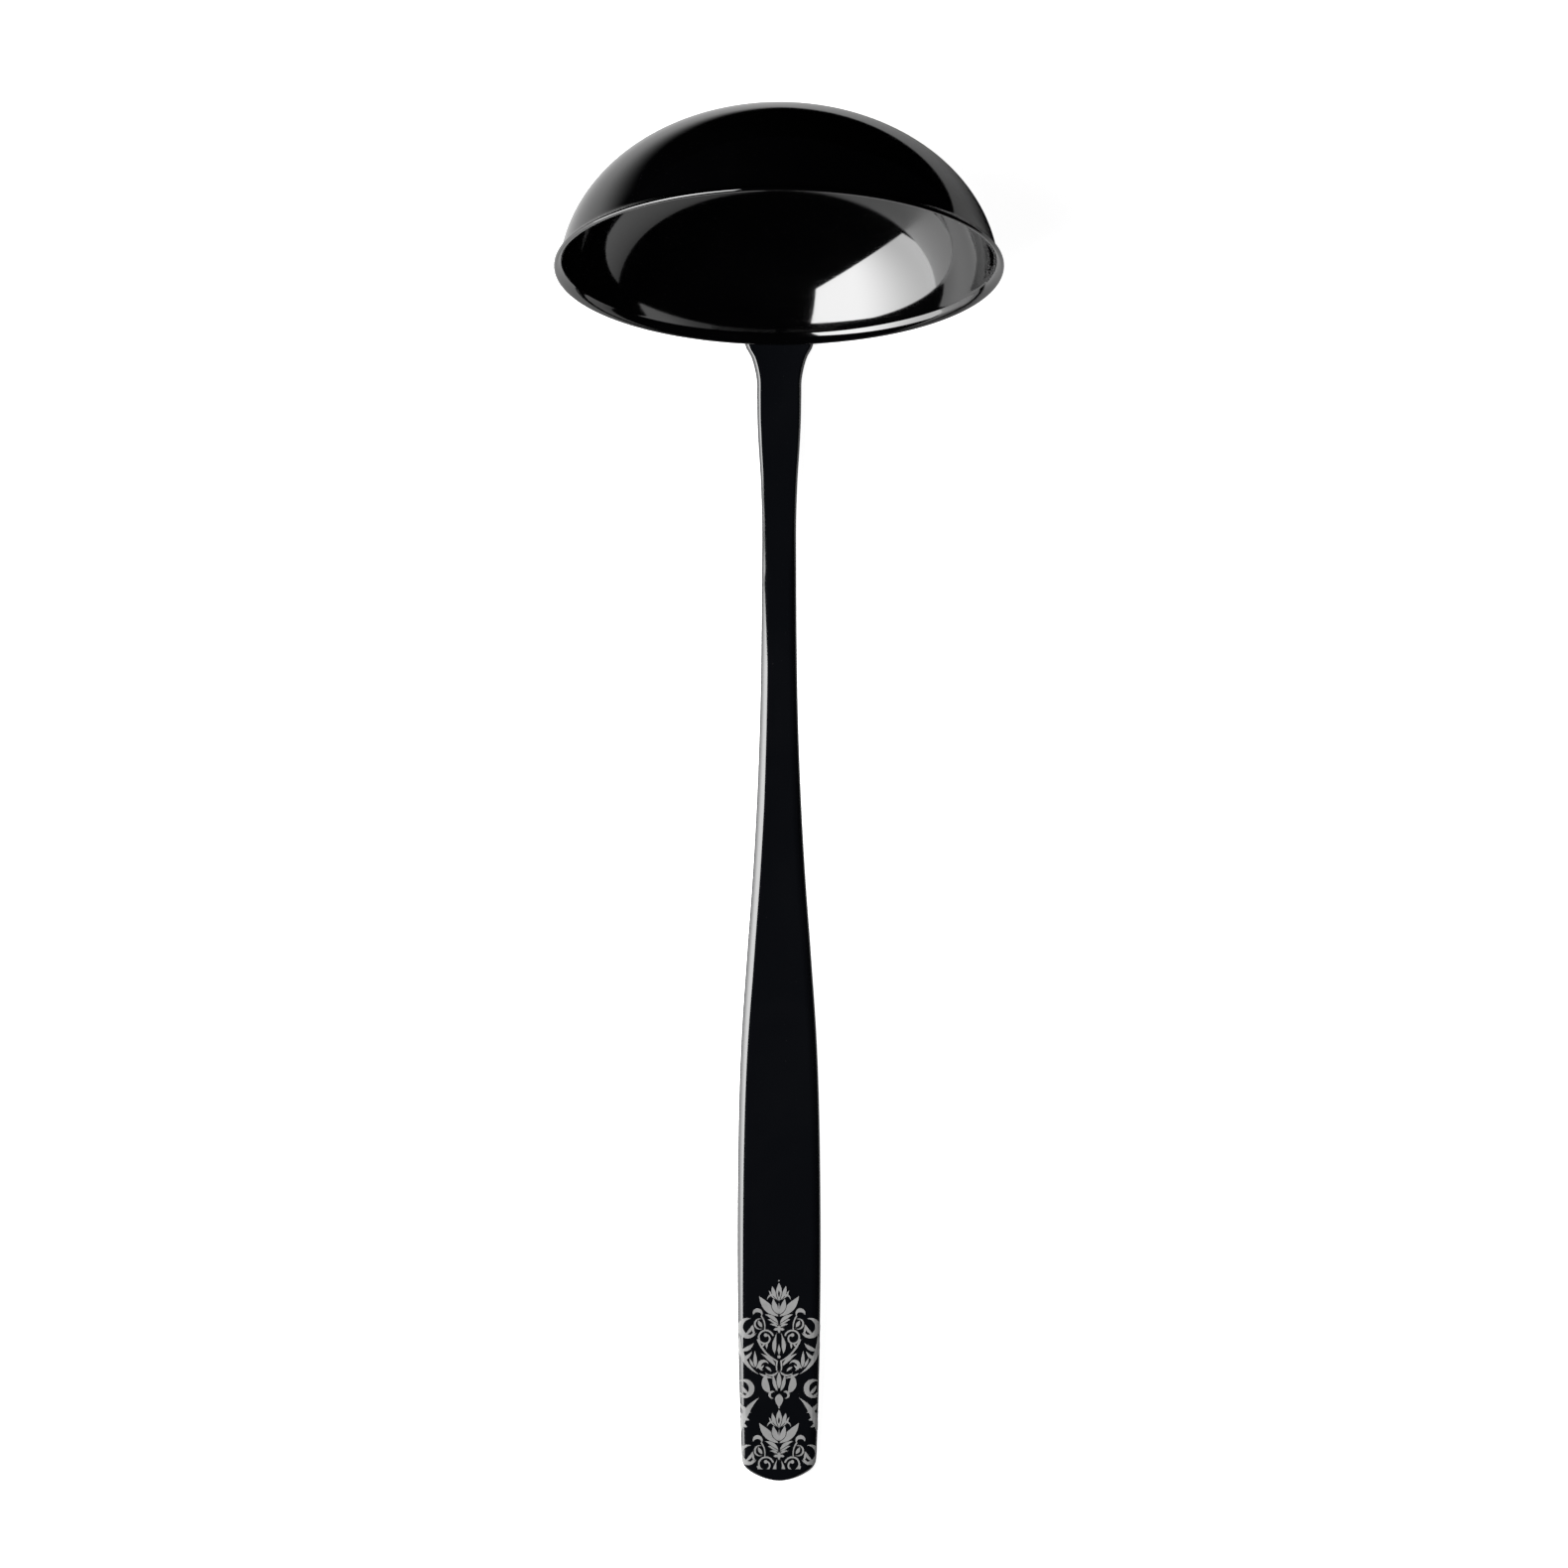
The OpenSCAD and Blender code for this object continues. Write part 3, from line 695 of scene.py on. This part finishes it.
def floor_material():
    """Matte white that glows just enough to stay clear of shadows."""
    g = Graph("white_floor")
    spot = g.coords("Object")
    tint = g.blend(g.noise(spot, scale=40, detail=3.0), (0.847, 0.847, 0.847, 1), (0.86, 0.86, 0.86, 1))
    g.shader.inputs["Emission Color"].default_value = (1, 1, 1, 1)
    g.shader.inputs["Emission Strength"].default_value = FLOOR_GLOW
    rough = g.bump(g.noise(spot, scale=900), 20e-6)
    return g.finish(tint, 0.7, rough, Specular_IOR_Level=0.1)


def sheet_material():
    """Glossy white whose far edge is crisp on the right and fades out to the left."""
    g = Graph("white_sheet")
    spot = g.coords("Object")
    left = g.math("MAXIMUM", g.math("MULTIPLY", g.axis(spot, "X"), -SHEET_FADE), 0.0)
    soft = g.math("ADD", left, SHEET_CRISP)
    past = g.math("DIVIDE", g.math("SUBTRACT", g.axis(spot, "Y"), SHEET_EDGE), soft)
    share = g.span(past, -0.3, 1.0, 1.0, 0.0)
    tint = g.blend(g.noise(spot, scale=40, detail=3.0), (0.59, 0.59, 0.59, 1), (0.6, 0.6, 0.6, 1))
    g.put(g.shader.inputs["Specular IOR Level"], g.math("MULTIPLY", share, 0.5))
    rough = g.bump(g.noise(spot, scale=900), 20e-6)
    return g.finish(g.blend(share, (0, 0, 0, 1), tint), 0.32, rough)


def add_floor():
    """A wide white floor for the eye, and the lit sheet on it that the gloss mirrors."""
    reach = FLOOR_REACH
    floor = plane("floor", (-reach, -reach), (reach, reach), FLOOR_Z, floor_material())
    floor.visible_glossy = False
    sheet_top = plane("lit_sheet", SHEET_LOW, SHEET_HIGH, SHEET_Z, sheet_material())
    sheet_top.visible_camera = False
    sheet_top.visible_diffuse = False
    sheet_top.visible_shadow = False


def softbox(name, wide, high, middle, tilt, radiance, foot_share, dim_to, full_from):
    """A rectangular area light that faces +X before its tilt in degrees, and is dimmer at its foot."""
    data = bpy.data.lights.new(name, "AREA")
    data.shape = "RECTANGLE"
    data.size, data.size_y = wide, high
    data.energy = radiance * math.pi * wide * high
    lamp = bpy.data.objects.new(name, data)
    upright = Matrix(((0, 0, -1), (-1, 0, 0), (0, 1, 0)))
    turn = Euler([math.radians(angle) for angle in tilt]).to_matrix()
    lamp.matrix_world = Matrix.Translation(middle) @ (turn @ upright).to_4x4()
    bpy.context.scene.collection.objects.link(lamp)
    data.use_nodes = True
    nodes, links = data.node_tree.nodes, data.node_tree.links
    place = nodes.new("ShaderNodeNewGeometry")
    split = nodes.new("ShaderNodeSeparateXYZ")
    fade = nodes.new("ShaderNodeMapRange")
    fade.interpolation_type = "SMOOTHSTEP"
    links.new(place.outputs["Parametric"], split.inputs["Vector"])
    links.new(split.outputs["Y"], fade.inputs["Value"])
    fade.inputs["From Min"].default_value = dim_to
    fade.inputs["From Max"].default_value = full_from
    fade.inputs["To Min"].default_value = foot_share
    links.new(fade.outputs["Result"], nodes["Emission"].inputs["Strength"])


def add_lights():
    """One tall softbox on the ladle's left that leans over it."""
    softbox("left_softbox", wide=0.4, high=0.76, middle=(-0.313, -0.025, 0.347), tilt=(-11.5, 10.5, -11),
            radiance=10.8, foot_share=0.47, dim_to=0.1, full_from=0.55)


def add_world():
    """White to the eye and nearly dark to the gloss."""
    world = bpy.data.worlds.new("studio")
    bpy.context.scene.world = world
    world.use_nodes = True
    nodes, links = world.node_tree.nodes, world.node_tree.links
    path = nodes.new("ShaderNodeLightPath")
    mix = nodes.new("ShaderNodeMix")
    mix.data_type = "RGBA"
    mix.inputs["A"].default_value = DARK_ROOM
    mix.inputs["B"].default_value = WHITE_ROOM
    links.new(path.outputs["Is Camera Ray"], mix.inputs["Factor"])
    links.new(mix.outputs["Result"], nodes["Background"].inputs["Color"])
    nodes["Background"].inputs["Strength"].default_value = 1.0


def add_camera():
    """Straight above, as the photograph sees it, through a long lens."""
    data = bpy.data.cameras.new("camera")
    data.lens, data.sensor_width = CAMERA_LENS, CAMERA_SENSOR
    data.clip_start, data.clip_end = 0.05, 20
    camera = bpy.data.objects.new("camera", data)
    camera.location = CAMERA_PLACE
    bpy.context.scene.collection.objects.link(camera)
    bpy.context.scene.camera = camera


# ---------- build ----------

def build_ladle():
    deep = gloss_coat("black_gloss_bowl", (0.0005, 0.0005, 0.0006), (0.001, 0.001, 0.0011), 1.8)
    # The handle's copy of the black coat is a lighter, bluer black than the bowl's. That is a painted
    # reflection of a dim overhead room on the handle's face; on the real ladle the coat is one black.
    coat = gloss_coat("black_gloss_handle_painted_reflection", (0.0024, 0.0027, 0.0035), (0.0031, 0.0034, 0.0042), 1.65)
    seam, ink = bead_coat(), print_ink()
    profile = bowl_profile()
    place = Place(profile)
    strip = Strip(place)

    points, faces, uvs = revolve(profile, place)
    make_piece("drawn_bowl", points, faces_outward(points, faces), uvs, "bowl", deep)

    points, faces, uvs = loft(handle_rings(strip), lambda p: p.x)
    make_piece("stamped_handle", points, faces_outward(points, faces), uvs, "handle", coat)

    points, faces, uvs = loft(bead_rings(strip), lambda p: p.z)
    make_piece("braze_bead", points, faces_outward(points, faces), uvs, "braze_seam", seam)

    for name in ("upper_medallion", "lower_medallion", "left_scroll", "right_scroll"):
        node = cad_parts[name]
        node.data.materials.clear()
        node.data.materials.append(ink)


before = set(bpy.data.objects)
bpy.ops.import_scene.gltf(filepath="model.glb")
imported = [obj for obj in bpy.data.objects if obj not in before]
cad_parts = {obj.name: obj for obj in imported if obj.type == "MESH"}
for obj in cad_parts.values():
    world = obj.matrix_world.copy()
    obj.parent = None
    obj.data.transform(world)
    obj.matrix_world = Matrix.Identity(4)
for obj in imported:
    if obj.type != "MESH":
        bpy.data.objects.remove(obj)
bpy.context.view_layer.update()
bpy.context.scene.view_settings.view_transform = "Standard"
build_ladle()
add_floor()
add_lights()
add_world()
add_camera()
